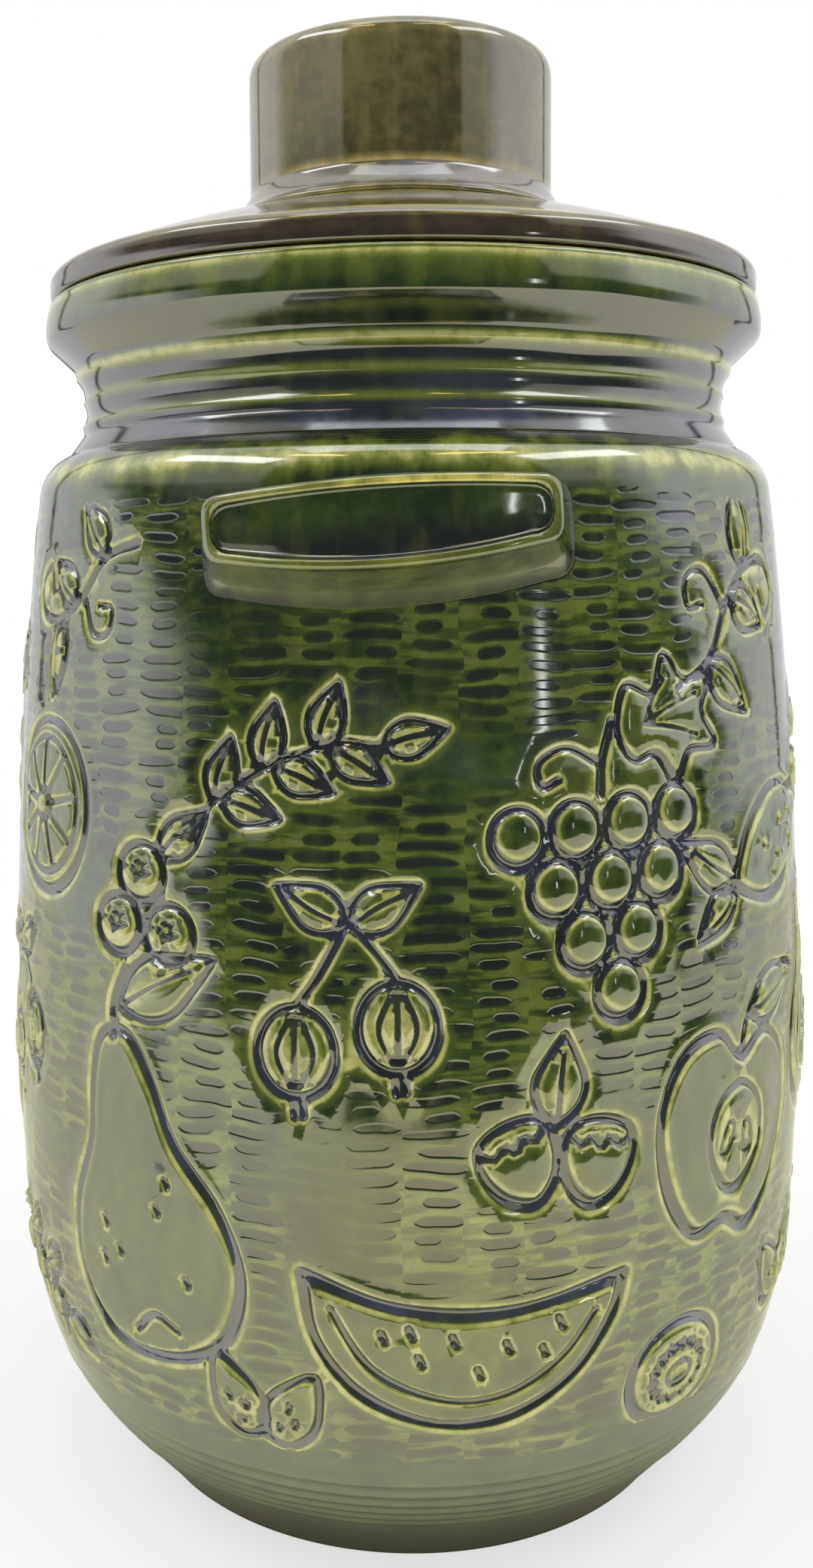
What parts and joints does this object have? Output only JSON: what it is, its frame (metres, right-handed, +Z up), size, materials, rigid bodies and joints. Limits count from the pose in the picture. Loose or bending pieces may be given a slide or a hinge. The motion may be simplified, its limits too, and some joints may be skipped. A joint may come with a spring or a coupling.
{
  "type": "rum pot",
  "caption": "Barrel-shaped glazed stoneware rum pot with fruit moulded on its wall, ledge handles, a ridged neck, a rolled rim and a loose knobbed lid.",
  "frame": {"origin": "centre of the foot ring, on the surface that the pot stands on", "axes": "+Z up along the pot's axis, the front handle towards -Y"},
  "size_m": [0.1908, 0.2028, 0.3301],
  "materials": {
    "green_glaze": "glossy translucent bottle-green glaze, paler where it breaks over edges",
    "handle_glaze": "the same green glaze, pooled dark in the dished front",
    "lid_glaze": "glossy olive-brown glaze",
    "knob_glaze": "glossy olive-brown glaze with faint vertical streaks"
  },
  "bodies": {
    "pot": {"pot_body": "green_glaze", "lug_handle_front": "handle_glaze", "lug_handle_back": "handle_glaze"},
    "cover": {"lid": "lid_glaze", "lid_knob": "knob_glaze"}
  },
  "joints": [
    {"name": "lid_lift", "type": "slide", "parent": "pot", "child": "cover", "axis": [0, 0, 1], "range_m": [0, 0.12]}
  ]
}
